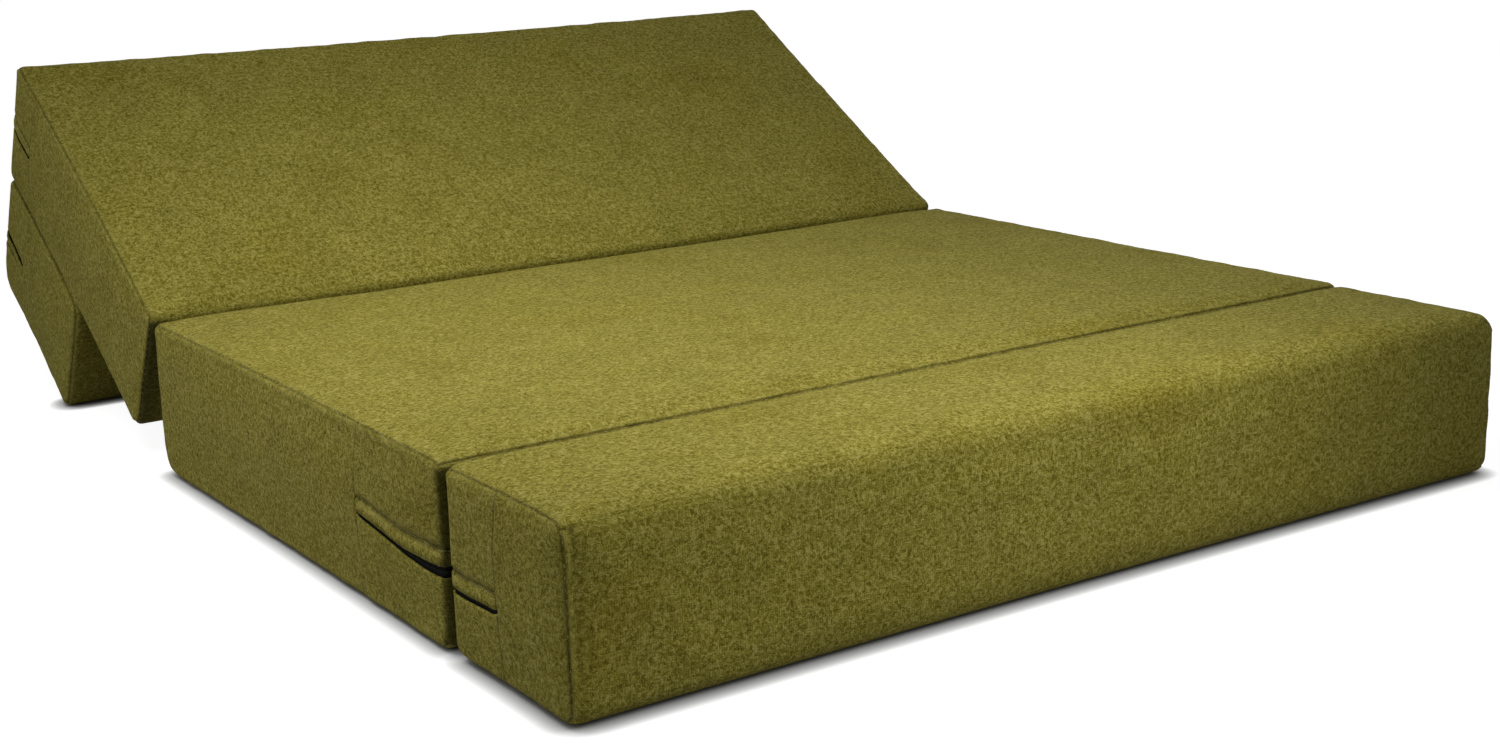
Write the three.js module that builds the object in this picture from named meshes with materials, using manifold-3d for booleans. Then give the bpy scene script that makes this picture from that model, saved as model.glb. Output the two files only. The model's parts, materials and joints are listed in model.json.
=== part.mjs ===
// A folding foam sofa bed: four padded sections in zipped covers, joined in a chain by fabric hinges.
// X runs across the bed, Y from the front edge to the rear, Z up from the floor. Sizes are in millimetres.
import * as THREE from "three";
import { mergeVertices } from "three/addons/utils/BufferGeometryUtils.js";
import Module from "manifold-3d";

const wasm = await Module();
wasm.setup();

// Main sizes of the four sections
const bedWidth = 1219;
const sectionHeight = 190;
const frontLength = 226;
const seatLength = 785;
const backLength = 547;
const propLength = 300;

// Gaps between neighbouring sections
const foldGap = 4;
const stackGap = 2;

// Padding: rise of the lying faces, and how far the seams pull in between the corners
const crownHeight = 4;
const endDrawIn = 3;
const edgeDrawIn = 5;

// Edge roundings of the foam sections
const endRadius = 18;
const baseRadius = 24;
const frontBaseRadius = 20;
const rearBaseRadius = 34;
const softRadius = 26;
const foldRadius = 13;
const upperRadius = 13;
const propHeelRadius = 42;
const footRadius = 26;

// Covers
const clothThickness = 1.6;
const clearance = 0.3;
const seamDrop = 7;
const footFlat = 0.5;

// Zips: how far each one wraps round onto the ends, how far the front one lies below mid-height,
// and the cloth tape and coil
const frontWrap = 102;
const seatWrap = 190;
const backWrap = 89;
const propWrap = 89;
const frontZipDrop = 20;
const slitWidth = 3;
const coilWidth = 2;
const tapeWidth = 24;
const tapeThickness = 0.8;

// Zip slider and its pull
const sliderLength = 11;
const sliderWidth = 8;
const sliderNoseWidth = 5;
const sliderThickness = 2.2;
const sliderLift = 0.4;
const sliderEndMargin = 8;
const bridgeLength = 8;
const bridgeWidth = 2.4;
const bridgeBar = 1.2;
const bridgeOpening = 2.4;
const pullLength = 28;
const pullWidth = 7;
const pullThickness = 1.2;
const pullWindowLength = 5.2;
const pullWindowWidth = 3.6;
const pullSlotLength = 9;
const pullSlotWidth = 2.6;
const pullSlotMargin = 3;

// Fabric hinge strips
const stripThickness = 1.2;
const stripLeg = 24;
const stripEndMargin = 18;
const stripLap = 18;

// Mesh counts
const roundingRows = 2;
const widthCells = 6;
const lengthCells = 4;
const heightCells = 2;
const outlineSteps = 6;
const mergeShare = 1e-6;

// Derived sizes
const halfWidth = bedWidth / 2;
const halfHeight = sectionHeight / 2;
const hingeRise = crownHeight + 2 * clearance;
const coverDepth = clothThickness + clearance;
const tapeDepth = coverDepth + tapeThickness;
const grooveDepth = tapeDepth + clearance;
const mergeGap = bedWidth * mergeShare;
const cutReach = bedWidth;
const floorReach = 2 * cutReach;
const endSeam = endDrawIn + endRadius * (1 - Math.sin(Math.PI / 4));
const sliderReach = sliderLift + sliderThickness + bridgeOpening + bridgeBar;
const pivotReach = sliderLift + sliderThickness + bridgeOpening / 2;

// Each section: its length, its zip's end and wrap, and the rounding of its four long edges.
// "near" is the low-Y end of the section's own frame and "far" its high-Y end.
const sections = {
  front: {
    length: frontLength,
    zipSide: 1,
    wrap: frontWrap,
    zipHeight: halfHeight - frontZipDrop,
    radii: { nearTop: softRadius, nearBase: frontBaseRadius, farTop: foldRadius, farBase: baseRadius },
    drawIn: { near: edgeDrawIn, far: 0 },
  },
  seat: {
    length: seatLength,
    zipSide: -1,
    wrap: seatWrap,
    zipHeight: halfHeight,
    radii: { nearTop: foldRadius, nearBase: baseRadius, farTop: foldRadius, farBase: rearBaseRadius },
    drawIn: { near: 0, far: 0 },
  },
  back: {
    length: backLength,
    zipSide: 1,
    wrap: backWrap,
    zipHeight: halfHeight,
    radii: { nearTop: foldRadius, nearBase: baseRadius, farTop: upperRadius, farBase: foldRadius },
    drawIn: { near: 0, far: edgeDrawIn },
  },
  prop: {
    length: propLength,
    zipSide: -1,
    wrap: propWrap,
    zipHeight: halfHeight,
    radii: { nearTop: propHeelRadius, nearBase: foldRadius, farTop: footRadius, farBase: baseRadius },
    drawIn: { near: 0, far: 0 },
  },
};

// Colours
const oliveCloth = 0x847b3d;
const oliveBand = 0x6f6832;
const oliveStrip = 0x4a4522;
const foamCream = 0xd9cfa8;
const zipBlack = 0x17170f;
const zincGrey = 0x8c8c88;

function clothMaterial(color) {
  return new THREE.MeshStandardMaterial({ color, roughness: 0.95, metalness: 0 });
}

function foamMaterial() {
  return new THREE.MeshStandardMaterial({ color: foamCream, roughness: 1, metalness: 0 });
}

function zipMaterial() {
  return new THREE.MeshStandardMaterial({ color: zipBlack, roughness: 0.6, metalness: 0 });
}

function zincMaterial() {
  return new THREE.MeshStandardMaterial({ color: zincGrey, roughness: 0.35, metalness: 1 });
}

// A closed geometry as a solid that can be joined and cut
function solidOf(geometry) {
  const bare = geometry.clone();
  bare.deleteAttribute("normal");
  bare.deleteAttribute("uv");
  const merged = mergeVertices(bare, mergeGap);
  return new wasm.Manifold(
    new wasm.Mesh({
      numProp: 3,
      vertProperties: new Float32Array(merged.attributes.position.array),
      triVerts: new Uint32Array(merged.index.array),
    }),
  );
}

function geometryOf(solid) {
  const made = solid.getMesh();
  const geometry = new THREE.BufferGeometry();
  geometry.setAttribute("position", new THREE.BufferAttribute(made.vertProperties, made.numProp));
  geometry.setIndex(new THREE.BufferAttribute(made.triVerts, 1));
  geometry.computeVertexNormals();
  return geometry;
}

// A plain block between two corners, used for cutting
function blockSolid(low, high) {
  const size = high.clone().sub(low);
  const middle = low.clone().add(high).divideScalar(2);
  const geometry = new THREE.BoxGeometry(size.x, size.y, size.z);
  geometry.translate(middle.x, middle.y, middle.z);
  return solidOf(geometry);
}

function addNode(group, name, geometry, material) {
  const mesh = new THREE.Mesh(geometry, material);
  mesh.name = name;
  group.add(mesh);
}

// Place of a grid row along one axis: close rows round the edge, even rows between them
function rowPlace(row, rows, half, radius) {
  const fromLow = row;
  const fromHigh = rows - row;
  const inner = half - radius;
  const step = Math.PI / 4 / roundingRows;
  if (fromLow < roundingRows) {
    return -inner - radius * Math.tan((roundingRows - fromLow) * step);
  }
  if (fromHigh < roundingRows) {
    return inner + radius * Math.tan((roundingRows - fromHigh) * step);
  }
  const share = (fromLow - roundingRows) / (rows - 2 * roundingRows);
  return inner * (2 * share - 1);
}

// Edge rounding at a grid point, blended between the section's four long edges
function radiusAt(section, lengthShare, heightShare, inset) {
  const edge = section.radii;
  const nearEnd = THREE.MathUtils.lerp(edge.nearBase, edge.nearTop, heightShare);
  const farEnd = THREE.MathUtils.lerp(edge.farBase, edge.farTop, heightShare);
  return THREE.MathUtils.lerp(nearEnd, farEnd, lengthShare) - inset;
}

// The crown of the lying face, and seams that pull in between the corners.
// Both fade out towards the resting face and the middle of the sides.
function padPoint(point, half, section) {
  const across = point.x / half.x;
  const along = point.y / half.y;
  const up = point.z / half.z;
  const seamShare = up * up;
  const endPull = section.drawIn[along < 0 ? "near" : "far"];
  if (up > 0) {
    point.z += crownHeight * (1 - across * across) * (1 - along * along) * seamShare;
  }
  point.x -= across * endDrawIn * (1 - along * along) * seamShare;
  point.y -= along * endPull * (1 - across * across) * seamShare;
}

// Turn of the rounding at the ends, from 0 on the long sides to a right angle on the flat of the end
function endTurn(column, row, layer, rows) {
  const fromEnd = Math.min(column, rows.x - column);
  const fromRim = Math.min(row, rows.y - row, layer, rows.z - layer);
  const steps = fromEnd > 0 ? roundingRows - fromEnd : roundingRows + fromRim;
  return (THREE.MathUtils.clamp(steps, 0, 2 * roundingRows) * Math.PI) / 4 / roundingRows;
}

function acrossPlace(column, rows, half, radius, angle) {
  if (angle > 0) {
    return Math.sign(column - rows / 2) * (half - radius * (1 - Math.sin(angle)));
  }
  const share = (column - roundingRows) / (rows - 2 * roundingRows);
  return (half - radius) * (2 * share - 1);
}

// A point of the section's side outline, rounded at the four long edges and drawn in round the ends
function outlinePlace(row, layer, rows, half, radius, inwards) {
  const place = new THREE.Vector2(
    rowPlace(row, rows.y, half.y, radius),
    rowPlace(layer, rows.z, half.z, radius),
  );
  const reach = new THREE.Vector2(half.y - radius, half.z - radius);
  const core = place.clone().clamp(reach.clone().negate(), reach);
  const fromRim = Math.min(row, rows.y - row, layer, rows.z - layer);
  if (fromRim < roundingRows) {
    place.sub(core).setLength(radius - inwards).add(core);
  }
  return place;
}

// The padded body of a section, shrunk by an inset
function paddedBlock(section, inset) {
  const half = new THREE.Vector3(halfWidth - inset, section.length / 2 - inset, halfHeight - inset);
  const turnRadius = endRadius - inset;
  const rows = new THREE.Vector3(
    widthCells + 2 * roundingRows,
    lengthCells + 2 * roundingRows,
    heightCells + 2 * roundingRows,
  );
  const geometry = new THREE.BoxGeometry(rows.x, rows.y, rows.z, rows.x, rows.y, rows.z);
  const position = geometry.attributes.position;
  const point = new THREE.Vector3();
  for (let i = 0; i < position.count; i++) {
    const column = Math.round(position.getX(i) + rows.x / 2);
    const row = Math.round(position.getY(i) + rows.y / 2);
    const layer = Math.round(position.getZ(i) + rows.z / 2);
    const angle = endTurn(column, row, layer, rows);
    const radius = radiusAt(section, row / rows.y, layer / rows.z, inset);
    const place = outlinePlace(row, layer, rows, half, radius, turnRadius * (1 - Math.cos(angle)));
    point.set(acrossPlace(column, rows.x, half.x, turnRadius, angle), place.x, place.y);
    padPoint(point, half, section);
    position.setXYZ(i, point.x, point.y, point.z + halfHeight);
  }
  return solidOf(geometry);
}

// A slice of the section's space between two levels
function levelSlice(low, high) {
  return blockSolid(
    new THREE.Vector3(-cutReach, -cutReach, low),
    new THREE.Vector3(cutReach, cutReach, high),
  );
}

// The space beyond the seam round one end; side is -1 on the left and 1 on the right
function endSpace(side, margin) {
  const start = halfWidth - endSeam - margin;
  const low = side < 0 ? -cutReach : start;
  const high = side < 0 ? -start : cutReach;
  return blockSolid(
    new THREE.Vector3(low, -cutReach, -cutReach),
    new THREE.Vector3(high, cutReach, cutReach),
  );
}

// The space at the zipped end, from the zip's wrap outwards, between two levels
function zipSpace(section, margin, low, high) {
  const start = section.length / 2 - section.wrap - margin;
  const lowY = section.zipSide > 0 ? start : -cutReach;
  const highY = section.zipSide > 0 ? cutReach : -start;
  return blockSolid(
    new THREE.Vector3(-cutReach, lowY, low),
    new THREE.Vector3(cutReach, highY, high),
  );
}

// The space of the plackets: the zipped face between its seams, and both ends up to the zip's wrap
function placketSpace(section, margin, low, high) {
  const seams = levelSlice(seamDrop - margin, sectionHeight - seamDrop + margin);
  const ends = endSpace(-1, margin).add(endSpace(1, margin));
  return seams.add(ends).intersect(zipSpace(section, margin, low, high));
}

// The cover's cloth, cut at its seams: a panel that wraps over the top, one side and the base,
// a panel on each end, and the zip's two plackets
function coverPanels(section) {
  const cloth = paddedBlock(section, 0).subtract(paddedBlock(section, clothThickness));
  const zipped = zipSpace(section, clearance, -cutReach, cutReach);
  const between = endSpace(-1, clearance).add(endSpace(1, clearance));
  const plackets = placketSpace(section, clearance, -cutReach, cutReach);
  const belowSlit = section.zipHeight - slitWidth / 2;
  const aboveSlit = section.zipHeight + slitWidth / 2;
  return {
    cover_wrap: cloth.subtract(between).subtract(plackets),
    end_left: cloth.intersect(endSpace(-1, 0)).subtract(zipped),
    end_right: cloth.intersect(endSpace(1, 0)).subtract(zipped),
    placket_upper: cloth.intersect(placketSpace(section, 0, aboveSlit, cutReach)),
    placket_lower: cloth.intersect(placketSpace(section, 0, -cutReach, belowSlit)),
  };
}

// The zip's tape behind the plackets, with its coil standing in the slit
function zipChain(section) {
  const halfTape = tapeWidth / 2;
  const halfCoil = coilWidth / 2;
  const height = section.zipHeight;
  const start = -clearance;
  const tapeCore = paddedBlock(section, tapeDepth);
  const tape = paddedBlock(section, coverDepth)
    .subtract(tapeCore)
    .intersect(zipSpace(section, start, height - halfTape, height + halfTape));
  const coil = paddedBlock(section, clearance)
    .subtract(tapeCore)
    .intersect(zipSpace(section, start, height - halfCoil, height + halfCoil));
  return tape.add(coil);
}

// The foam fills the cover and gives way behind the zip's tape
function foamCore(section) {
  const halfGroove = tapeWidth / 2 + clearance;
  const height = section.zipHeight;
  const groove = paddedBlock(section, 0)
    .subtract(paddedBlock(section, grooveDepth))
    .intersect(zipSpace(section, clearance, height - halfGroove, height + halfGroove));
  return paddedBlock(section, coverDepth).subtract(groove);
}

// How far a slider runs along the straight stretch of its zip, from the wrap's end to the corner's rounding
function sliderTravel(section) {
  const cornerRadius = radiusAt(section, section.zipSide > 0 ? 1 : 0, 1 / 2, 0);
  return section.wrap - sliderEndMargin - cornerRadius - sliderLength / 2;
}

function sliderPlace(section) {
  return section.length / 2 - section.wrap + sliderEndMargin;
}

// The outline is drawn with its length along the zip and raised outwards, then turned onto the right-hand end
function sliderPlate() {
  const outline = new THREE.Shape();
  outline.moveTo(-sliderLength / 2, -sliderNoseWidth / 2);
  outline.lineTo(0, -sliderWidth / 2);
  outline.lineTo(sliderLength / 2, -sliderWidth / 2);
  outline.lineTo(sliderLength / 2, sliderWidth / 2);
  outline.lineTo(0, sliderWidth / 2);
  outline.lineTo(-sliderLength / 2, sliderNoseWidth / 2);
  outline.closePath();
  const geometry = new THREE.ExtrudeGeometry(outline, { depth: sliderThickness, bevelEnabled: false });
  geometry.translate(0, 0, sliderLift);
  return solidOf(geometry);
}

// The bridge is an arch over the plate that the pull's eye turns in
function sliderBridge() {
  const foot = sliderLift + sliderThickness / 2;
  const inside = sliderLift + sliderThickness + bridgeOpening;
  const arch = blockSolid(
    new THREE.Vector3(-bridgeLength / 2, -bridgeWidth / 2, foot),
    new THREE.Vector3(bridgeLength / 2, bridgeWidth / 2, inside + bridgeBar),
  );
  const opening = blockSolid(
    new THREE.Vector3(-bridgeLength / 2 + bridgeBar, -bridgeWidth, foot),
    new THREE.Vector3(bridgeLength / 2 - bridgeBar, bridgeWidth, inside),
  );
  return arch.subtract(opening);
}

// A slot-shaped hole outline, round at both ends
function slotHole(startX, length, width) {
  const hole = new THREE.Path();
  const radius = width / 2;
  hole.absarc(startX + radius, 0, radius, Math.PI / 2, Math.PI + Math.PI / 2, false);
  hole.absarc(startX + length - radius, 0, radius, -Math.PI / 2, Math.PI / 2, false);
  hole.closePath();
  return hole;
}

// The pull: a window round the bridge at its pivot end, and a slot through its finger end
function pullTab() {
  const radius = pullWidth / 2;
  const pivotEnd = -pullThickness / 2;
  const outline = new THREE.Shape();
  outline.moveTo(pivotEnd, -radius);
  outline.lineTo(pullLength - radius, -radius);
  outline.absarc(pullLength - radius, 0, radius, -Math.PI / 2, Math.PI / 2, false);
  outline.lineTo(pivotEnd, radius);
  outline.closePath();
  const windowStart = pullThickness / 2;
  const windowEnd = windowStart + pullWindowLength;
  const half = pullWindowWidth / 2;
  const opening = new THREE.Path();
  opening.moveTo(windowStart, -half);
  opening.lineTo(windowStart, half);
  opening.lineTo(windowEnd, half);
  opening.lineTo(windowEnd, -half);
  opening.closePath();
  outline.holes.push(opening);
  const slotStart = pullLength - pullSlotMargin - pullSlotLength;
  outline.holes.push(slotHole(slotStart, pullSlotLength, pullSlotWidth));
  const settings = { depth: pullThickness, bevelEnabled: false, curveSegments: outlineSteps };
  const geometry = new THREE.ExtrudeGeometry(outline, settings);
  geometry.rotateZ(Math.PI);
  geometry.translate(0, 0, pivotReach - pullThickness / 2);
  return geometry;
}

// Turns a slider piece from its own frame (length along X, raised along Z) onto the right-hand end
function onRightEnd(section, geometry) {
  const towardsCorner = new THREE.Vector3(0, section.zipSide, 0);
  const outwards = new THREE.Vector3(1, 0, 0);
  const side = outwards.clone().cross(towardsCorner);
  geometry.applyMatrix4(new THREE.Matrix4().makeBasis(towardsCorner, side, outwards));
  geometry.translate(halfWidth, section.zipSide * sliderPlace(section), section.zipHeight);
  return geometry;
}

// A closed ribbon outline along a path of points, half the thickness to each side
function ribbonShape(path, thickness) {
  const left = [];
  const right = [];
  path.forEach((point, i) => {
    const before = path[Math.max(i - 1, 0)];
    const after = path[Math.min(i + 1, path.length - 1)];
    const arriving = i > 0 ? point.clone().sub(before).normalize() : after.clone().sub(point).normalize();
    const leaving = i < path.length - 1 ? after.clone().sub(point).normalize() : arriving;
    const along = arriving.clone().add(leaving).normalize();
    const reach = thickness / 2 / along.dot(arriving);
    const across = new THREE.Vector2(-along.y, along.x).multiplyScalar(reach);
    left.push(point.clone().add(across));
    right.unshift(point.clone().sub(across));
  });
  return new THREE.Shape([...left, ...right]);
}

// Extrudes a (Y, Z) outline across the bed
function acrossBed(shape) {
  const length = bedWidth - 2 * stripEndMargin;
  const geometry = new THREE.ExtrudeGeometry(shape, { depth: length, bevelEnabled: false });
  geometry.translate(0, 0, -length / 2);
  const toY = new THREE.Vector3(0, 1, 0);
  const toZ = new THREE.Vector3(0, 0, 1);
  const toX = new THREE.Vector3(1, 0, 0);
  geometry.applyMatrix4(new THREE.Matrix4().makeBasis(toY, toZ, toX));
  return geometry;
}

// A folded strip in a crease, from one section's end face over to the next one's, in the hinge's own frame
function creaseStrip(openAngle) {
  const lie = foldGap / 2 - clearance - stripThickness / 2;
  const highest = hingeRise + foldRadius;
  const lowest = highest + stripLeg;
  const along = new THREE.Vector2(Math.cos(openAngle), Math.sin(openAngle));
  const down = new THREE.Vector2(Math.sin(openAngle), -Math.cos(openAngle));
  const beside = (depth) => along.clone().multiplyScalar(lie).addScaledVector(down, depth);
  const path = [
    new THREE.Vector2(-lie, -lowest),
    new THREE.Vector2(-lie, -highest),
    beside(highest),
    beside(lowest),
  ];
  return acrossBed(ribbonShape(path, stripThickness));
}

// The flat strip that joins the back's underside edge to the prop's, round the outside of their fold
function underStrip() {
  const lie = clearance + stripThickness / 2 - foldGap / 2;
  const reach = foldRadius + stripLap + stackGap / 2;
  const path = [new THREE.Vector2(lie, -reach), new THREE.Vector2(lie, reach)];
  return acrossBed(ribbonShape(path, stripThickness));
}

// Lean of the back section, from the prop's rounded foot that rests on the floor
function backLean() {
  const footAlong = foldGap / 2 + backLength - propLength + footRadius;
  const footDeep = hingeRise + 2 * sectionHeight + stackGap - footRadius;
  const drop = sectionHeight + hingeRise - footRadius + footFlat;
  return Math.atan2(footDeep, footAlong) - Math.asin(drop / Math.hypot(footAlong, footDeep));
}

const lean = backLean();

// Places along Y, counted from the crease between the front and the seat section
const frontPlace = -(foldGap + frontLength) / 2;
const seatPlace = (foldGap + seatLength) / 2;
const backHingePlace = foldGap + seatLength;
const frontEdge = -foldGap / 2 - frontLength;
const hingeHeight = sectionHeight + hingeRise;
const farCornerAlong = foldGap / 2 + backLength;

function placed(matrices) {
  return matrices.reduce((all, next) => all.multiply(next), new THREE.Matrix4());
}

function shift(y, z) {
  return new THREE.Matrix4().makeTranslation(0, y, z);
}

function turn(angle) {
  return new THREE.Matrix4().makeRotationX(angle);
}

// The frames of the hinges and the sections
const backHingeFrame = placed([shift(backHingePlace, hingeHeight), turn(lean)]);
const propAxisAlong = farCornerAlong + foldGap / 2;
const propAxisDeep = hingeRise + sectionHeight + stackGap / 2;
const propHingeFrame = placed([backHingeFrame.clone(), shift(propAxisAlong, -propAxisDeep)]);
const frames = {
  front: shift(frontPlace, 0),
  seat: shift(seatPlace, 0),
  back: placed([backHingeFrame.clone(), shift((foldGap + backLength) / 2, -hingeHeight)]),
  prop: placed([
    propHingeFrame.clone(),
    turn(Math.PI),
    shift((foldGap + propLength) / 2, stackGap / 2),
  ]),
};

// The floor as seen from a section's own frame, to flatten what rests on it
function floorSolid(frame) {
  const geometry = new THREE.BoxGeometry(2 * floorReach, 2 * floorReach, floorReach);
  geometry.translate(0, 0, -floorReach / 2);
  geometry.applyMatrix4(frame.clone().invert());
  return solidOf(geometry);
}

function addSection(name, parent) {
  const section = sections[name];
  const group = new THREE.Group();
  group.applyMatrix4(frames[name]);
  Object.entries(coverPanels(section)).forEach(([part, solid]) => {
    const color = part === "cover_wrap" ? oliveCloth : oliveBand;
    const resting = name === "prop" ? solid.subtract(floorSolid(frames[name])) : solid;
    addNode(group, `${name}_${part}`, geometryOf(resting), clothMaterial(color));
  });
  addNode(group, `${name}_foam_core`, geometryOf(foamCore(section)), foamMaterial());
  addNode(group, `${name}_zip_chain`, geometryOf(zipChain(section)), zipMaterial());
  const slider = geometryOf(sliderPlate().add(sliderBridge()));
  addNode(group, `${name}_zip_slider`, onRightEnd(section, slider), zincMaterial());
  addNode(group, `${name}_zip_pull`, onRightEnd(section, pullTab()), zincMaterial());
  parent.add(group);
}

function addStrip(name, parent, frame, geometry) {
  const group = new THREE.Group();
  group.applyMatrix4(frame);
  addNode(group, name, geometry, clothMaterial(oliveStrip));
  parent.add(group);
}

// The rearmost point is the upper edge of the back section's rounding or the prop's outer corner
function rearEdge(parent) {
  parent.updateMatrixWorld(true);
  return new THREE.Box3().setFromObject(parent, true).max.y;
}

function sofaBed() {
  const bed = new THREE.Group();
  Object.keys(sections).forEach((name) => addSection(name, bed));
  addStrip("front_hinge_strip", bed, shift(0, hingeHeight), creaseStrip(0));
  addStrip("back_hinge_strip", bed, shift(backHingePlace, hingeHeight), creaseStrip(lean));
  addStrip("prop_hinge_strip", bed, propHingeFrame, underStrip());
  const middle = new THREE.Vector3(-sliderReach / 2, -(frontEdge + rearEdge(bed)) / 2, 0);
  bed.position.copy(middle);
  return bed;
}

// Prints the hinge axes and travels that go with this shape
function printJoints(bed) {
  bed.updateMatrixWorld(true);
  const inBed = (matrix) => new THREE.Vector3().applyMatrix4(matrix).add(bed.position);
  const note = (label, value) => console.log(label, JSON.stringify(value));
  note("lean in degrees", THREE.MathUtils.radToDeg(lean));
  note("front hinge", inBed(shift(0, hingeHeight)));
  note("back hinge", inBed(backHingeFrame));
  note("prop hinge", inBed(propHingeFrame));
  Object.entries(sections).forEach(([name, section]) => {
    const place = shift(section.zipSide * sliderPlace(section), section.zipHeight);
    const pivot = inBed(placed([frames[name].clone(), place]));
    pivot.x += halfWidth + pivotReach;
    note(`${name} pull pivot`, pivot);
    note(`${name} slider travel`, sliderTravel(section));
  });
}

const sofa = sofaBed();
printJoints(sofa);

export default sofa;
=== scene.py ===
import json
import math
from functools import partial

import bmesh
import bpy
from mathutils import Matrix, Vector, noise
from mathutils.bvhtree import BVHTree


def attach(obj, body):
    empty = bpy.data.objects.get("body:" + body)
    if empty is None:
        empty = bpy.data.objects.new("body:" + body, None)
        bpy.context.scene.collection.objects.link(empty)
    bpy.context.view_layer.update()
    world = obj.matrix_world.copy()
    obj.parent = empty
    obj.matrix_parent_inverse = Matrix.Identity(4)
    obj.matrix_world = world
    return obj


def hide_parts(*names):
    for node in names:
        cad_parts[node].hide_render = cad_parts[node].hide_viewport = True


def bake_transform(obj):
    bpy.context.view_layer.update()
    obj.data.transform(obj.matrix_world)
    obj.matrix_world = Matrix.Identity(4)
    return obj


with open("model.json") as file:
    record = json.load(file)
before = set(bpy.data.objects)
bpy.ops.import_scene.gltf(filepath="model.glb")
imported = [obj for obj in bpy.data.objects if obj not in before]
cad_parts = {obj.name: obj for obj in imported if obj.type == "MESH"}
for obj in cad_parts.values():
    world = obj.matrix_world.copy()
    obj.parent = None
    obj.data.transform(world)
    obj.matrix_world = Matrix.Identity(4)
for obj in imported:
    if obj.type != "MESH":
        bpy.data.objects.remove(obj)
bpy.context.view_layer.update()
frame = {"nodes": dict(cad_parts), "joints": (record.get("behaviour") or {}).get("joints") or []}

print("frame loaded")


def newObject(name, data):
    made = bpy.data.objects.new(name, data)
    bpy.context.scene.collection.objects.link(made)
    return made


# camera, fitted to the corners and creases in the photo; angles in degrees, lens and sensor in mm
cameraView = {
    "place": (-1.40754, -2.31914, 0.72357),
    "yaw": 33.684, "pitch": 13.9, "roll": -1.706,
    "lens": 50.95, "sensor": 36.0, "farthest": 60,
}


def makeCamera():
    yaw, pitch, roll = (math.radians(cameraView[k]) for k in ("yaw", "pitch", "roll"))
    ahead = Vector((math.sin(yaw) * math.cos(pitch),
                    math.cos(yaw) * math.cos(pitch),
                    -math.sin(pitch)))
    right = Vector((math.cos(yaw), -math.sin(yaw), 0))
    up = right.cross(ahead)
    across = math.cos(roll) * right + math.sin(roll) * up
    upright = -math.sin(roll) * right + math.cos(roll) * up
    data = bpy.data.cameras.new("photoCamera")
    data.lens = cameraView["lens"]
    data.sensor_width = cameraView["sensor"]
    data.clip_end = cameraView["farthest"]
    camera = newObject("photoCamera", data)
    turn = Matrix((across, upright, -ahead)).transposed()
    camera.matrix_world = Matrix.Translation(cameraView["place"]) @ turn.to_4x4()
    bpy.context.scene.camera = camera


makeCamera()
print("camera placed")


# shader helpers; a socket takes a number, a colour, or the output of another node
def feed(tree, node, takes):
    for socket, value in dict(takes).items():
        if isinstance(value, (int, float, tuple)):
            node.inputs[socket].default_value = value
        else:
            tree.links.new(value, node.inputs[socket])


def addNode(tree, kind, takes=(), **settings):
    node = tree.nodes.new("ShaderNode" + kind)
    for label, value in settings.items():
        setattr(node, label, value)
    feed(tree, node, takes)
    return node


def addMath(tree, operation, *values, clamp=False):
    takes = enumerate(values)
    return addNode(tree, "Math", takes, operation=operation, use_clamp=clamp).outputs[0]


def addVector(tree, operation, takes):
    return addNode(tree, "VectorMath", takes, operation=operation).outputs[0]


def addNoise(tree, vector, scale, detail=2.0, roughness=0.5, stretch=None):
    if stretch is not None:
        vector = addNode(tree, "Mapping", {"Vector": vector, "Scale": stretch}).outputs["Vector"]
    takes = {"Vector": vector, "Scale": scale, "Detail": detail, "Roughness": roughness}
    return addNode(tree, "TexNoise", takes).outputs["Fac"]


def addRange(tree, value, fromLow, fromHigh, toLow=0.0, toHigh=1.0):
    takes = {"Value": value, "From Min": fromLow, "From Max": fromHigh, "To Min": toLow,
             "To Max": toHigh}
    return addNode(tree, "MapRange", takes, clamp=True).outputs["Result"]


# one of a look's noises, taken through its range
def addLook(tree, vector, look, kind):
    return addRange(tree, addNoise(tree, vector, *look[kind]), *look[kind + "Range"])


# 6, 7 and 2 are the Mix node's sockets for colours
def addMix(tree, factor, first, second, blend="MIX"):
    takes = {0: factor, 6: first, 7: second}
    return addNode(tree, "Mix", takes, data_type="RGBA", blend_type=blend).outputs[2]


def addBump(tree, height, strength, distance):
    takes = {"Height": height, "Strength": strength, "Distance": distance}
    return addNode(tree, "Bump", takes).outputs["Normal"]


# an sRGB colour, 0 to 255, in linear values
def linear(color):
    shares = [value / 255 for value in color]
    values = [((s + 0.055) / 1.055) ** 2.4 if s > 0.04045 else s / 12.92 for s in shares]
    return (*values, 1)


def newMaterial(name):
    material = bpy.data.materials.new(name)
    material.use_nodes = True
    return material, material.node_tree, material.node_tree.nodes["Principled BSDF"]


# a shared node group; a taken value of None is a vector, and all that it gives are numbers
def newGroup(name, takes, gives):
    group = bpy.data.node_groups.new(name, "ShaderNodeTree")
    for label, value in takes.items():
        kind = "NodeSocketVector" if value is None else "NodeSocketFloat"
        socket = group.interface.new_socket(label, in_out="INPUT", socket_type=kind)
        if value is not None:
            socket.default_value = value
    for label in gives:
        group.interface.new_socket(label, in_out="OUTPUT", socket_type="NodeSocketFloat")
    return group, group.nodes.new("NodeGroupInput").outputs, group.nodes.new("NodeGroupOutput")


def placeGroup(tree, group, **values):
    return addNode(tree, "Group", values.items(), node_tree=group).outputs


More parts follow.
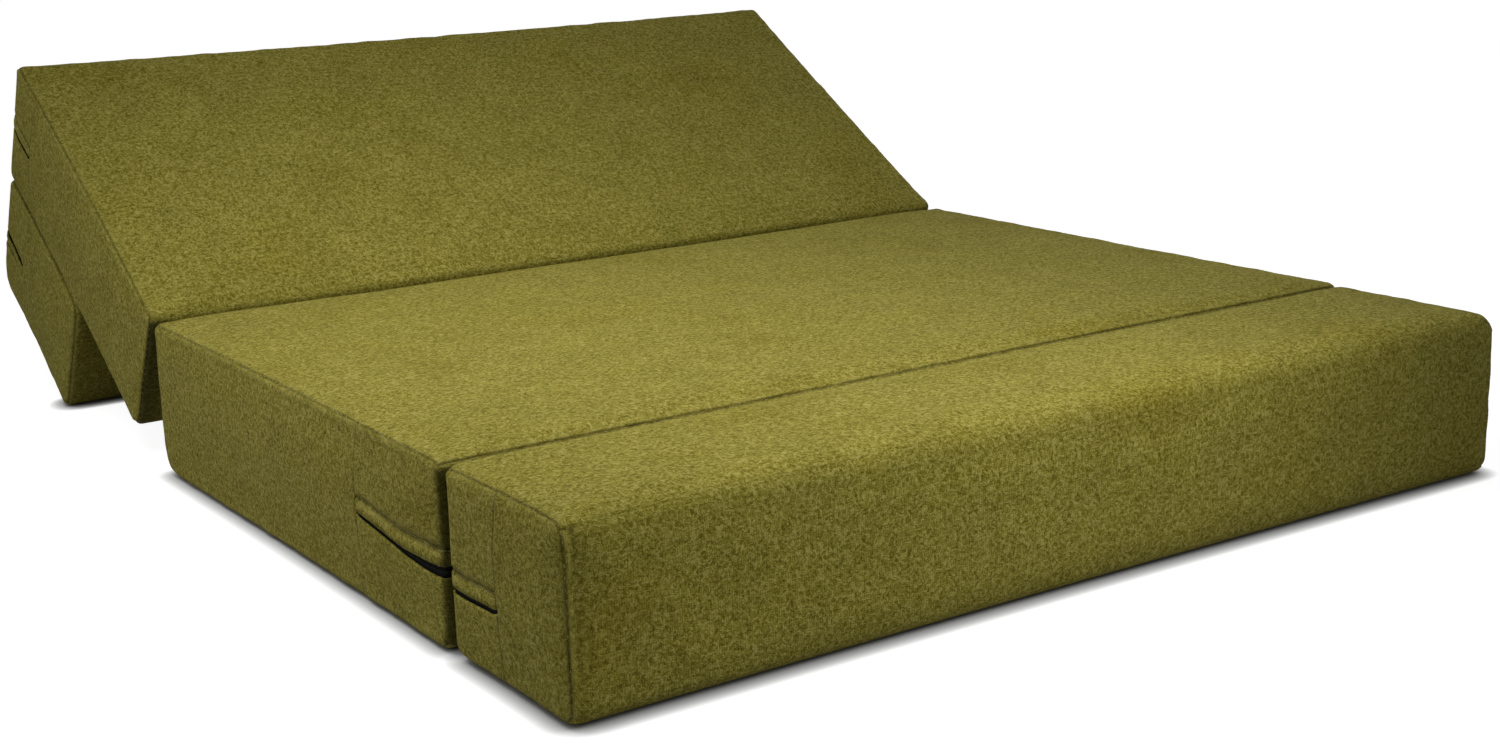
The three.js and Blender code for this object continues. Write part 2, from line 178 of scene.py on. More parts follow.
# light and floor: an even studio dome and three softboxes
studio = {
    "domeColor": (0.97, 0.98, 1.0, 1), "domeStrength": 0.31, "shownColor": (1, 1, 1, 1),
    "floorSize": 40, "floorDrop": 0.0006,
    "floorColor": (0.38, 0.38, 0.38, 1), "floorGlow": 0.9,
    "contactReach": 0.022, "contactSamples": 24, "contactPower": 2.5,
}
softboxes = {
    "overSeat": {"power": 5.3, "size": 1.0, "spread": 90,
                 "place": (-0.87, -0.10, 1.54), "aim": (0.07, -0.43, 0)},
    "inFront": {"power": 1.9, "size": 0.62, "spread": 115,
                "place": (0.25, -1.25, 0.72), "aim": (-0.28, -0.88, 0.17)},
    "besideBack": {"power": 0.42, "size": 0.5, "spread": 75,
                   "place": (-2.0, 0.55, 0.65), "aim": (-0.61, 0.5, 0.25)},
}


# 1 for the rays that show the background: straight from the camera, mirrored or passed through
def seenDirectly(tree):
    path = addNode(tree, "LightPath").outputs
    seen = addMath(tree, "MAXIMUM", path["Is Camera Ray"], path["Is Glossy Ray"])
    return addMath(tree, "MAXIMUM", seen, path["Is Transmission Ray"])


def makeWorld():
    world = bpy.data.worlds.new("paleStudio")
    bpy.context.scene.world = world
    world.use_nodes = True
    tree = world.node_tree
    tree.nodes.clear()
    light = {"Color": studio["domeColor"], "Strength": studio["domeStrength"]}
    dome = addNode(tree, "Background", light).outputs[0]
    plain = addNode(tree, "Background", {"Color": studio["shownColor"], "Strength": 1}).outputs[0]
    mixed = addNode(tree, "MixShader", {0: seenDirectly(tree), 1: dome, 2: plain}).outputs[0]
    addNode(tree, "OutputWorld", {"Surface": mixed})


def makeSoftbox(name, box):
    data = bpy.data.lights.new(name, "AREA")
    data.shape = "DISK"
    data.size = box["size"]
    data.energy = box["power"]
    data.spread = math.radians(box["spread"])
    lamp = newObject(name, data)
    lamp.visible_camera = False
    lamp.location = box["place"]
    toAim = Vector(box["aim"]) - lamp.location
    lamp.rotation_euler = toAim.to_track_quat("-Z", "Y").to_euler()


# the floor shows white to the camera and keeps a dark line where the object touches it: its glow
# dims by ambient occlusion there, a painted contact shadow over the real one
def floorMaterial():
    material, tree, shader = newMaterial("paleFloor")
    reach = {"Distance": studio["contactReach"]}
    contact = addNode(tree, "AmbientOcclusion", reach, samples=studio["contactSamples"])
    deeper = addMath(tree, "POWER", contact.outputs["AO"], studio["contactPower"])
    glow = addMath(tree, "MULTIPLY", seenDirectly(tree), studio["floorGlow"])
    feed(tree, shader, {
        "Base Color": studio["floorColor"],
        "Roughness": 1,
        "Specular IOR Level": 0,
        "Emission Color": studio["shownColor"],
        "Emission Strength": addMath(tree, "MULTIPLY", glow, deeper),
    })
    return material


def makeFloor():
    bm = bmesh.new()
    bmesh.ops.create_grid(bm, x_segments=4, y_segments=4, size=studio["floorSize"] / 2)
    bmesh.ops.translate(bm, vec=(0, 0, -studio["floorDrop"]), verts=bm.verts)
    mesh = bpy.data.meshes.new("studioFloor")
    bm.to_mesh(mesh)
    bm.free()
    mesh.materials.append(floorMaterial())
    newObject("studioFloor", mesh)


makeWorld()
for boxName, box in softboxes.items():
    makeSoftbox(boxName, box)
makeFloor()
bpy.context.scene.view_settings.view_transform = "Standard"
print("light and floor ready")

# In the looks, a noise is (scale, detail, roughness, stretch), a range (from low, from high,
# to low, to high), a bump (strength, distance) and a colour sRGB.
# Woven cloth: thick and thin threads crossing, drawn from a piece's own UV in metres
weaveLook = {
    "wander": 150, "wanderDetail": 1, "wanderReach": 0.0042, "crossing": (-0.35, 0.35),
    "weftSlub": (1.0, 1.2, 0.5, (120, 340, 120)),
    "warpSlub": (1.0, 1.2, 0.5, (340, 120, 120)),
    "threadMiddle": 0.64,
    "fibres": (118.0, 1.0, 0.45), "fibresMiddle": 0.5, "fibresRange": (0.0, 0.075, 1.0, 0.0),
    "hollows": (134.0, 1.0, 0.45, (1, 1, 3.7)), "hollowsMiddle": 0.52,
    "hollowsRange": (0.0, 0.065, 1.0, 0.0),
    "shade": {"slubs": 1.08, "threads": 0.18, "fibres": 0.35, "hollows": -0.35},
    "height": {"slubs": 0.7, "threads": 0.35, "fibres": 0.22, "hollows": -0.25},
    "knotCells": 21, "knotRarity": 0.955, "knotRange": (0.03, 0.075, 1.0, 0.0),
}


def makeSlubWeave():
    look = weaveLook
    takes = {"Vector": None, "Threads": 380.0, "Slub": 1.0, "Ragged": 1.0}
    group, source, sink = newGroup("slubWeave", takes, ["Height", "Shade", "Fleck"])
    calc = partial(addMath, group)
    vector = source["Vector"]
    takes = {"Vector": vector, "Scale": look["wander"], "Detail": look["wanderDetail"]}
    wander = addNode(group, "TexNoise", takes).outputs["Color"]
    centred = addVector(group, "SUBTRACT", {0: wander, 1: (0.5, 0.5, 0.5)})
    reach = calc("MULTIPLY", source["Ragged"], look["wanderReach"])
    pushed = addVector(group, "SCALE", {0: centred, "Scale": reach})
    ragged = addVector(group, "ADD", {0: vector, 1: pushed})
    split = addNode(group, "SeparateXYZ", {0: ragged}).outputs
    turns = calc("MULTIPLY", source["Threads"], math.pi)
    alongWave = calc("SINE", calc("MULTIPLY", split["X"], turns))
    acrossWave = calc("SINE", calc("MULTIPLY", split["Y"], turns))
    crossing = addRange(group, calc("MULTIPLY", alongWave, acrossWave), *look["crossing"])

    # the weft lies on top where crossing is 1, else the warp
    def woven(weft, warp):
        under = calc("MULTIPLY", warp, calc("SUBTRACT", 1.0, crossing))
        return calc("ADD", calc("MULTIPLY", weft, crossing), under)

    # thin curling lines where a noise passes its middle value
    def curls(kind):
        away = calc("SUBTRACT", addNoise(group, ragged, *look[kind]), look[kind + "Middle"])
        return addRange(group, calc("ABSOLUTE", away), *look[kind + "Range"])

    threads = woven(calc("ABSOLUTE", acrossWave), calc("ABSOLUTE", alongWave))
    slubs = woven(addNoise(group, ragged, *look["weftSlub"]),
                  addNoise(group, ragged, *look["warpSlub"]))
    fibres, hollows = curls("fibres"), curls("hollows")
    much = look["shade"]
    shade = calc("MULTIPLY_ADD", calc("SUBTRACT", slubs, 0.5), much["slubs"], 0.5)
    fromMiddle = calc("SUBTRACT", threads, look["threadMiddle"])
    shade = calc("MULTIPLY_ADD", fromMiddle, much["threads"], shade)
    shade = calc("MULTIPLY_ADD", fibres, much["fibres"], shade)
    shade = calc("MULTIPLY_ADD", hollows, much["hollows"], shade, clamp=True)
    away = calc("SUBTRACT", shade, 0.5)
    shade = calc("MULTIPLY_ADD", away, source["Slub"], 0.5, clamp=True)
    much = look["height"]
    height = calc("MULTIPLY", threads, much["threads"])
    for form, kind in ((slubs, "slubs"), (fibres, "fibres"), (hollows, "hollows")):
        height = calc("MULTIPLY_ADD", form, much[kind], height)
    # a few dark knots in the yarn
    cells = addNode(group, "TexVoronoi", {"Vector": vector, "Scale": look["knotCells"]}).outputs
    chosen = addNode(group, "SeparateColor", {0: cells["Color"]}).outputs[0]
    rare = calc("GREATER_THAN", chosen, look["knotRarity"])
    close = addRange(group, cells["Distance"], *look["knotRange"])
    fleck = calc("MULTIPLY", rare, close)
    feed(group, sink, {"Height": height, "Shade": shade, "Fleck": fleck})
    return group


# rubbed light wear along the edges, and painted shade darkening the seam's valley; Gap is the
# distance from a seam
wearAndShadeLook = {
    "patches": (55.0, 3.0), "patchesRange": (0.42, 0.66),
    "band": (0.003, 0.013, 1.0, 0.0), "valley": (0.001, 0.0042, 1.0, 0.0),
    "breaks": (85.0, 2.0), "breaksRange": (0.32, 0.6, 0.45, 1.0),
}


def makeSeamWearAndShade():
    look = wearAndShadeLook
    takes = {"Vector": None, "Gap": 1.0}
    group, source, sink = newGroup("seamWearAndShade", takes, ["Worn", "Valley"])
    patchy = addLook(group, source["Vector"], look, "patches")
    broken = addLook(group, source["Vector"], look, "breaks")
    band = addRange(group, source["Gap"], *look["band"])
    valley = addRange(group, source["Gap"], *look["valley"])
    feed(group, sink, {"Worn": addMath(group, "MULTIPLY", patchy, band),
                       "Valley": addMath(group, "MULTIPLY", valley, broken)})
    return group


slubWeave = makeSlubWeave()
seamWearAndShade = makeSeamWearAndShade()


def uvOf(tree):
    return addNode(tree, "UVMap", uv_map="cloth").outputs["UV"]


def objectPlace(tree):
    return addNode(tree, "TexCoord").outputs["Object"]


def layerOf(tree, name):
    return addNode(tree, "Attribute", attribute_name=name).outputs["Fac"]


# tints are laid over the cloth's tone, each as (share, colour)
coverCloth = {
    "threads": 400.0,
    "ramp": ((0.08, (97, 89, 20)), (0.5, (139, 130, 49)), (0.94, (172, 163, 86))),
    "patches": (6.5, 3.0), "patchesRange": (0.52, 0.7, 0.0, 0.3),
    "patchColor": (150, 140, 60),
    "clouds": (15.0, 3.0, 0.55), "cloudsRange": (0.3, 0.7, 0.93, 1.06),
    # the valley tint is painted shade in the seams' valleys; the rubbed tint is wear along the
    # edges
    "rubbed": (0.45, (168, 158, 84)), "valley": (0.66, (58, 52, 14)),
    # knots are the yarn's own; the fold tint is painted shade in the creases between sections
    "knot": (0.8, (62, 54, 14)), "paintedFoldShade": (0.72, (30, 27, 8)),
    "roughness": (0.98, 0.86), "specular": 0.06,
    "sheen": 0.02, "sheenRoughness": 0.6,
    "bump": (0.75, 0.0011),
}


def coverMaterial():
    look = coverCloth
    material, tree, shader = newMaterial("oliveCover")
    uv = uvOf(tree)
    weave = placeGroup(tree, slubWeave, Vector=uv, Threads=look["threads"])
    # wear gives the rubbed edges and the painted shade in the seams' valleys
    wear = placeGroup(tree, seamWearAndShade, Vector=uv, Gap=layerOf(tree, "seamGap"))
    ramp = addNode(tree, "ValToRGB", {0: weave["Shade"]})
    stops = ramp.color_ramp.elements
    stops.new(look["ramp"][1][0])
    for stop, (position, color) in zip(stops, look["ramp"]):
        stop.position = position
        stop.color = linear(color)
    patches = addLook(tree, uv, look, "patches")
    yellower = addMix(tree, patches, ramp.outputs[0], linear(look["patchColor"]), "SOFT_LIGHT")
    color = addVector(tree, "SCALE", {0: yellower, "Scale": addLook(tree, uv, look, "clouds")})
    masks = {"rubbed": wear["Worn"], "valley": wear["Valley"], "knot": weave["Fleck"],
             # painted shade in the folds between sections
             "paintedFoldShade": layerOf(tree, "creaseShade")}
    for kind, mask in masks.items():
        share, tint = look[kind]
        color = addMix(tree, addMath(tree, "MULTIPLY", mask, share), color, linear(tint))
    feed(tree, shader, {
        "Base Color": color,
        "Roughness": addRange(tree, weave["Shade"], 0.0, 1.0, *look["roughness"]),
        "Specular IOR Level": look["specular"],
        "Sheen Weight": look["sheen"],
        "Sheen Roughness": look["sheenRoughness"],
        "Normal": addBump(tree, weave["Height"], *look["bump"]),
    })
    return material


hingeCloth = {
    "weave": {"Threads": 430.0, "Slub": 0.9, "Ragged": 0.9},
    "dark": (60, 55, 22), "light": (110, 102, 47),
    "roughness": (0.97, 0.88), "specular": 0.15, "bump": (0.6, 0.0006),
}
zipTape = {
    "weave": {"Threads": 1100.0, "Slub": 0.7, "Ragged": 0.1},
    "dark": (4, 4, 3), "light": (12, 11, 8),
    "roughness": (0.98, 0.85), "specular": 0.08, "bump": (0.5, 0.0003),
}


def plainWeave(name, look):
    material, tree, shader = newMaterial(name)
    weave = placeGroup(tree, slubWeave, Vector=uvOf(tree), **look["weave"])
    feed(tree, shader, {
        "Base Color": addMix(tree, weave["Shade"], linear(look["dark"]), linear(look["light"])),
        "Roughness": addRange(tree, weave["Shade"], 0, 1, *look["roughness"]),
        "Specular IOR Level": look["specular"],
        "Normal": addBump(tree, weave["Height"], *look["bump"]),
    })
    return material


creamFoam = {
    "cells": 900,
    "aged": (8.0, 3.0), "agedRange": (0.35, 0.7),
    "fresh": (229, 220, 189), "old": (212, 196, 146), "pore": (168, 150, 102),
    "poreRange": (0.15, 0.6, 0.0, 0.35),
    "roughness": (0.3, 0.7, 0.9, 1.0), "bump": (0.5, 0.0008),
}


def foamMaterial():
    look = creamFoam
    material, tree, shader = newMaterial("creamFoam")
    place = objectPlace(tree)
    cells = addNode(tree, "TexVoronoi", {"Vector": place, "Scale": look["cells"]})
    cells = cells.outputs["Distance"]
    aged = addNoise(tree, place, *look["aged"])
    cream = addMix(tree, addRange(tree, aged, *look["agedRange"]), linear(look["fresh"]),
                   linear(look["old"]))
    pores = addRange(tree, cells, *look["poreRange"])
    feed(tree, shader, {
        "Base Color": addMix(tree, pores, cream, linear(look["pore"])),
        "Roughness": addRange(tree, aged, *look["roughness"]),
        "Normal": addBump(tree, cells, *look["bump"]),
    })
    return material


# finishes whose colour, roughness and bump each follow a noise
zipCoil = {
    "tone": (260.0, 2.0), "toneRange": (0.4, 0.75),
    "dark": (6, 6, 5), "light": (17, 16, 12),
    "wear": (260.0, 2.0), "wearRange": (0.3, 0.7, 0.5, 0.75),
    "fixed": {"Specular IOR Level": 0.12},
}
seamThread = {
    "tone": (120.0, 2.0), "toneRange": (0.35, 0.68),
    "dark": (104, 96, 34), "light": (186, 176, 108),
    "wear": (120.0, 2.0), "wearRange": (0.3, 0.7, 0.7, 0.9),
    "grain": (2400.0, 1.0), "bump": (0.4, 0.0002),
}
satinZinc = {
    "tone": (220.0, 3.0), "toneRange": (0.35, 0.7),
    "dark": (150, 149, 143), "light": (188, 187, 182),
    "wear": (1.0, 3.0, 0.6, (900, 160, 900)), "wearRange": (0.25, 0.75, 0.24, 0.46),
    "grain": (1.0, 3.0, 0.6, (900, 160, 900)),
    "bump": (0.15, 0.0002), "fixed": {"Metallic": 1},
}


def unevenFinish(name, look):
    material, tree, shader = newMaterial(name)
    place = objectPlace(tree)
    tone = addLook(tree, place, look, "tone")
    feed(tree, shader, {
        "Base Color": addMix(tree, tone, linear(look["dark"]), linear(look["light"])),
        "Roughness": addLook(tree, place, look, "wear"),
        **look.get("fixed", {}),
    })
    if "grain" in look:
        normal = addBump(tree, addNoise(tree, place, *look["grain"]), *look["bump"])
        feed(tree, shader, {"Normal": normal})
    return material


finishes = {
    "cover": coverMaterial(),
    "strip": plainWeave("hingeCloth", hingeCloth),
    "foam": foamMaterial(),
    "tape": plainWeave("zipTape", zipTape),
    "teeth": unevenFinish("zipCoil", zipCoil),
    "thread": unevenFinish("seamThread", seamThread),
    "zinc": unevenFinish("satinZinc", satinZinc),
}
print("materials ready")

# the bed as a whole, in metres
bed = {
    "width": 1.219, "height": 0.190, "crown": 0.0036, "endDrawIn": 0.003,
    "foldGap": 0.004, "stackGap": 0.002, "hingeRise": 0.0046,
    "topClear": 0.0004, "sideReach": 0.0008,
    "edgeRows": (0, 0.0023, 0.0049, 0.009, 0.0135, 0.018),
    "cloth": 0.0016, "slit": 0.003, "flapBand": 0.015, "flatSeam": 0.0022,
}

# each padded section; near and far are the low and high Y ends of its own frame, and wrap is
# how far the zip runs onto each end, where sag, gape and open shape its slit
sections = {
    "front": {
        "length": 0.226, "endRound": 0.016, "cell": 0.014, "seed": 1.7,
        "rounds": {"nearTop": 0.026, "nearBase": 0.020, "farTop": 0.013, "farBase": 0.024},
        "drawIn": {"near": 0.005}, "folds": ["far"], "shadeReach": 0.004,
        "zipSide": 1, "wrap": 0.102, "zipHeight": 0.075,
        "sag": 0.002, "gape": 0.0032, "open": 0.0008,
    },
    "seat": {
        "length": 0.785, "endRound": 0.010, "cell": 0.016, "seed": 5.1,
        "rounds": {"nearTop": 0.013, "nearBase": 0.024, "farTop": 0.013, "farBase": 0.034},
        "drawIn": {}, "folds": ["near", "far"], "shadeReach": 0.013,
        "zipSide": -1, "wrap": 0.190, "zipHeight": 0.095,
        "sag": 0.010, "gape": 0.0034, "open": 0.0050,
    },
    "back": {
        "length": 0.547, "endRound": 0.011, "cell": 0.016, "seed": 9.4,
        "rounds": {"nearTop": 0.013, "nearBase": 0.024, "farTop": 0.013, "farBase": 0.013},
        "drawIn": {"far": 0.005}, "folds": ["near"], "shadeReach": 0.005,
        "zipSide": 1, "wrap": 0.089, "zipHeight": 0.095,
        "sag": 0.002, "gape": 0.0062, "open": 0.001,
    },
    "prop": {
        "length": 0.300, "endRound": 0.012, "cell": 0.016, "seed": 13.8,
        "rounds": {"nearTop": 0.042, "nearBase": 0.013, "farTop": 0.026, "farBase": 0.024},
        "drawIn": {}, "folds": [],
        "zipSide": -1, "wrap": 0.089, "zipHeight": 0.095,
        "sag": 0.002, "gape": 0.0038, "open": 0.001,
    },
}

joints = {joint["name"]: joint for joint in frame["joints"]}
lean = math.radians(-joints["back_fold"]["range_deg"][0])
tiny = 1e-6


def hingeFrame(joint, angle):
    return Matrix.Translation(joints[joint]["pos_m"]) @ Matrix.Rotation(angle, 4, "X")


# where a section lies at rest; its own frame has its base at z 0
def sectionFrame(name):
    reach = (bed["foldGap"] + sections[name]["length"]) / 2
    if name == "prop":
        flipped = hingeFrame("prop_fold", lean) @ Matrix.Rotation(math.pi, 4, "X")
        return flipped @ Matrix.Translation((0, reach, bed["stackGap"] / 2))
    fold = hingeFrame("back_fold", lean) if name == "back" else hingeFrame("front_fold", 0)
    along = -reach if name == "front" else reach
    return fold @ Matrix.Translation((0, along, -bed["height"] - bed["hingeRise"]))


def smoothStep(value):
    value = max(0.0, min(1.0, value))
    return value * value * (3 - 2 * value)


def bell(value):
    return math.exp(-value ** 2)


# rows along one side of a block: close together round the edges, even between them
def rowPlaces(side, cell):
    edge = bed["edgeRows"]
    inner = side - 2 * edge[-1]
    cells = max(2, round(inner / cell))
    middle = [edge[-1] + inner * i / cells for i in range(1, cells)]
    return [place - side / 2 for place in [*edge, *middle, *(side - e for e in reversed(edge))]]


sideNames = ["left", "right", "near", "far", "base", "top"]
endNames = {"left", "right"}


# a block of square cells; each vertex keeps its flat place, each face the side that it is on
def gridBlock(size, cell):
    rows = [rowPlaces(side, cell) for side in size]
    counts = [len(places) - 1 for places in rows]
    bm = bmesh.new()
    bmesh.ops.create_cube(bm, size=1)
    bmesh.ops.scale(bm, vec=counts, verts=bm.verts)
    for axis in range(3):
        along = [e for e in bm.edges if abs(e.verts[0].co[axis] - e.verts[1].co[axis]) > 0.5]
        bmesh.ops.subdivide_edges(bm, edges=along, cuts=counts[axis] - 1, use_grid_fill=True)
    side = bm.faces.layers.int.new("side")
    flat = bm.verts.layers.float_vector.new("flat")
    for face in bm.faces:
        middle = face.calc_center_median()
        reach = [middle[axis] * 2 / counts[axis] for axis in range(3)]
        axis = max(range(3), key=lambda i: abs(reach[i]))
        face[side] = 2 * axis + int(reach[axis] > 0)
    for vert in bm.verts:
        steps = [round(vert.co[axis] + counts[axis] / 2) for axis in range(3)]
        vert[flat] = vert.co = Vector([places[step] for places, step in zip(rows, steps)])
    return bm


# rounds a point of the flat-sided block: one radius round the ends, each long edge its own
def roundPoint(point, half, section):
    endRound = section["endRound"]
    x, y, z = point
    fromEnd = half.x - abs(x)
    depth = min(half.y - abs(y), half.z - abs(z))
    drawn = depth
    if max(fromEnd, depth) < endRound:
        if fromEnd < tiny:
            angle = math.pi / 2 - math.atan((endRound - depth) / endRound)
        else:
            angle = math.atan((endRound - fromEnd) / endRound)
        x = math.copysign(half.x - endRound * (1 - math.sin(angle)), x)
        drawn = max(depth, endRound * (1 - math.cos(angle)))
    if depth < min(half.y, half.z) - tiny:
        y *= (half.y - drawn) / (half.y - depth)
        z *= (half.z - drawn) / (half.z - depth)
    radius = section["rounds"][("near" if y < 0 else "far") + ("Top" if z > 0 else "Base")]
    overY, overZ = abs(y) - (half.y - radius), abs(z) - (half.z - radius)
    if overY > 0 and overZ > 0:
        share = max(overY, overZ) / math.hypot(overY, overZ)
        y = math.copysign(half.y - radius + overY * share, y)
        z = math.copysign(half.z - radius + overZ * share, z)
    return Vector((x, y, z))


# a point of the padded form: the lying face rises in a crown, and the sides pull in
# between the corners
def padPoint(flatPoint, half, section):
    point = roundPoint(flatPoint, half, section)
    across, along, up = point.x / half.x, point.y / half.y, point.z / half.z
    seam = up * up
    pull = section["drawIn"].get("near" if along < 0 else "far", 0.0)
    if up > 0:
        point.z += bed["crown"] * (1 - across * across) * (1 - along * along) * seam
    point.x -= across * bed["endDrawIn"] * (1 - along * along) * seam
    point.y -= along * pull * (1 - across * across) * seam
    return point


def seamPlace(section):
    return section["zipSide"] * (section["length"] / 2 - section["wrap"])


def zipLevel(section, half):
    return section["zipHeight"] - half.z


def flapLevel(section, half):
    return zipLevel(section, half) + bed["slit"] / 2 + bed["flapBand"]


def inZip(section, side, place):
    name = sideNames[side]
    if name in endNames:
        return section["zipSide"] * (place.y - seamPlace(section)) > 0
    return name == ("far" if section["zipSide"] > 0 else "near")


# distance along the cloth from a point to the nearest seam of the cover;
# the seams across the ends are pressed flat and show less
def seamDistance(section, half, place, side):
    name = sideNames[side]
    fromZip = half.y - section["zipSide"] * place.y
    if name in ("top", "base"):
        return min(half.x - abs(place.x), fromZip)
    fromRim = half.z - abs(place.z)
    if inZip(section, side, place):
        fromRim = min(fromRim, abs(place.z - flapLevel(section, half)))
    if name in endNames:
        fromSeam = abs(place.y - seamPlace(section)) + bed["flatSeam"]
        return min(2 * half.y - fromZip, fromRim, fromSeam)
    return fromRim if inZip(section, side, place) else half.x - abs(place.x)


# small folds beside the seams and slow waves over the faces, along each vertex's normal
cloth = {
    "pucker": 0.0014, "puckerReach": 0.016, "puckerScales": (31, 63, 0.6),
    "wave": 0.0009, "waveScales": (5.5, 13, 0.5),
    "sideShare": 0.25,
    "groove": 0.0008, "grooveWidth": 0.0028,
    "lip": 0.0004, "lipPlace": 0.0065, "lipWidth": 0.004,
    "pull": 0.0046, "pullPlace": 0.011, "pullWidth": 0.006,
    "pullUneven": (0.65, 0.5, 16),
    "gapMost": 0.05,
    "shadeDepth": 0.05, "shadeTop": 0.01,
}


# painted shade in the folds between sections, strongest at the ends' upright edges
def creaseShade(section, half, place, names):
    shade = 0.0
    for fold in section["folds"]:
        fromFold = half.y + place.y if fold == "near" else half.y - place.y
        if names & endNames:
            shade = max(shade, 1 - smoothStep(fromFold / section["shadeReach"]))
        elif fold in names:
            shade = max(shade, 1 - smoothStep((half.x - abs(place.x)) / cloth["shadeDepth"]))
    return shade * smoothStep((half.z - place.z) / cloth["shadeTop"])


# a coarse and a fine noise, each with its scale; share is the fine one's
def twoNoises(place, start, coarse, fine, share):
    return noise.noise(place * coarse + start) + share * noise.noise(place * fine - start)


def floatLayer(bm, name):
    return bm.verts.layers.float.get(name) or bm.verts.layers.float.new(name)


def wrinkle(bm, section, half):
    flat, side = bm.verts.layers.float_vector["flat"], bm.faces.layers.int["side"]
    gapLayer, shadeLayer = floatLayer(bm, "seamGap"), floatLayer(bm, "creaseShade")
    bm.normal_update()
    seed = section["seed"]
    start = Vector((seed, 3 * seed, 7 * seed))
    moves = []
    for vert in bm.verts:
        place = vert[flat]
        sides = {face[side] for face in vert.link_faces}
        gap = max(min(seamDistance(section, half, place, s) for s in sides), 0.0)
        names = {sideNames[s] for s in sides}
        vert[gapLayer] = min(gap, cloth["gapMost"])
        vert[shadeLayer] = creaseShade(section, half, place, names)
        free = cloth["sideShare"] if names & {"near", "far"} and not names & endNames else 1.0
        if "base" in names:
            free = 0.0
        fade = math.exp(-gap / cloth["puckerReach"])
        pucker = cloth["pucker"] * twoNoises(place, start, *cloth["puckerScales"])
        wave = cloth["wave"] * twoNoises(place, start, *cloth["waveScales"])
        push = free * (pucker * fade + wave * (1 - fade))
        push -= cloth["groove"] * bell(gap / cloth["grooveWidth"])
        push += cloth["lip"] * bell((gap - cloth["lipPlace"]) / cloth["lipWidth"])
        if "near" in section["drawIn"] and names == {"near"}:
            fromSeam = (half.x - abs(place.x) - cloth["pullPlace"]) / cloth["pullWidth"]
            least, change, scale = cloth["pullUneven"]
            uneven = least + change * noise.noise(Vector((place.x, place.z * scale, seed)))
            push -= cloth["pull"] * bell(fromSeam) * uneven
        moves.append(vert.normal * push)
    for vert, move in zip(bm.verts, moves):
        vert.co += move


# the cover pressed out by its filling: cloth under pressure, held at the seams and at the base
swelling = {
    "frames": 20, "heldBase": 0.02,
    "outMost": 0.0035, "inMost": 0.0009,
    "facing": 0.3, "topClear": 0.0005, "leastRoom": 0.00005,
    "cloth": {
        "quality": 5, "mass": 0.4,
        "tension_stiffness": 60, "compression_stiffness": 60,
        "shear_stiffness": 30, "bending_stiffness": 2.0,
        "use_pressure": True, "uniform_pressure_force": 0.9,
        "vertex_group_mass": "held",
    },
}


# how far a point of the cover may still move outwards; what faces a neighbour has less room
def roomOutside(place, normal, half):
    room = swelling["outMost"]
    if normal.z > swelling["facing"]:
        room = min(room, half.z + bed["hingeRise"] - swelling["topClear"] - place.z)
    if abs(normal.y) > swelling["facing"]:
        room = min(room, half.y + bed["sideReach"] - abs(place.y))
    return max(room, swelling["leastRoom"])


def swell(mesh, half):
    puffed = newObject("puffed", mesh.copy())
    held = puffed.vertex_groups.new(name="held")
    for index, item in enumerate(mesh.attributes["flat"].data):
        place = item.vector
        onEnd = half.x - abs(place.x) < tiny
        rim = onEnd and min(half.y - abs(place.y), half.z - abs(place.z)) < tiny
        if rim or place.z < -half.z + swelling["heldBase"]:
            held.add([index], 1.0, "REPLACE")
    sim = puffed.modifiers.new("pressure", "CLOTH")
    for label, value in swelling["cloth"].items():
        setattr(sim.settings, label, value)
    sim.settings.effector_weights.gravity = 0
    sim.collision_settings.use_collision = False
    sim.point_cache.frame_start = 1
    sim.point_cache.frame_end = swelling["frames"]
    for number in range(1, swelling["frames"] + 1):
        bpy.context.scene.frame_set(number)
    shown = puffed.evaluated_get(bpy.context.evaluated_depsgraph_get())
    normals = [n.vector.copy() for n in mesh.vertex_normals]
    for vert, moved, normal in zip(mesh.vertices, shown.data.vertices, normals):
        shift = moved.co - vert.co
        out = shift.dot(normal)
        along = shift - normal * out
        most = roomOutside(vert.co, normal, half) if out > 0 else swelling["inMost"]
        out = most * math.tanh(out / most)
        if along.length > swelling["inMost"]:
            along *= swelling["inMost"] / along.length
        vert.co += normal * out + along
    bpy.data.objects.remove(puffed)
    bpy.context.scene.frame_set(1)


# nothing comes nearer to a neighbour than the hinges allow
def keepInside(bm, half):
    top = half.z + bed["hingeRise"] - bed["topClear"]
    reach = half.y + bed["sideReach"]
    for vert in bm.verts:
        vert.co.z = max(-half.z, min(top, vert.co.z))
        vert.co.y = max(-reach, min(reach, vert.co.y))


def subdivided(bm):
    mesh = bpy.data.meshes.new("skin")
    bm.to_mesh(mesh)
    bm.free()
    worker = newObject("skin", mesh)
    smooth = worker.modifiers.new("smooth", "SUBSURF")
    smooth.levels = smooth.render_levels = 1
    smooth.boundary_smooth = "PRESERVE_CORNERS"
    shown = worker.evaluated_get(bpy.context.evaluated_depsgraph_get())
    made = bpy.data.meshes.new_from_object(shown)
    bpy.data.objects.remove(worker)
    fine = bmesh.new()
    fine.from_mesh(made)
    bpy.data.meshes.remove(made)
    return fine


# rows that the skin is cut along: beside the ends' seam, the slit and the flap's stitching
cuts = {
    "seam": (-0.0055, -0.0022, 0, 0.0022, 0.0055),
    "slit": 0.004, "flap": 0.0025, "snap": 0.0004,
}


def cutFaces(bm, faces, point, normal):
    edges = {edge for face in faces for edge in face.edges}
    verts = {vert for face in faces for vert in face.verts}
    geom = [*faces, *edges, *verts]
    bmesh.ops.bisect_plane(bm, geom=geom, dist=cuts["snap"], plane_co=point, plane_no=normal)


def cutZip(bm, section, level):
    side = bm.faces.layers.int["side"]
    zipped = [f for f in bm.faces if inZip(section, f[side], f.calc_center_median())]
    cutFaces(bm, zipped, (0, 0, level), (0, 0, 1))


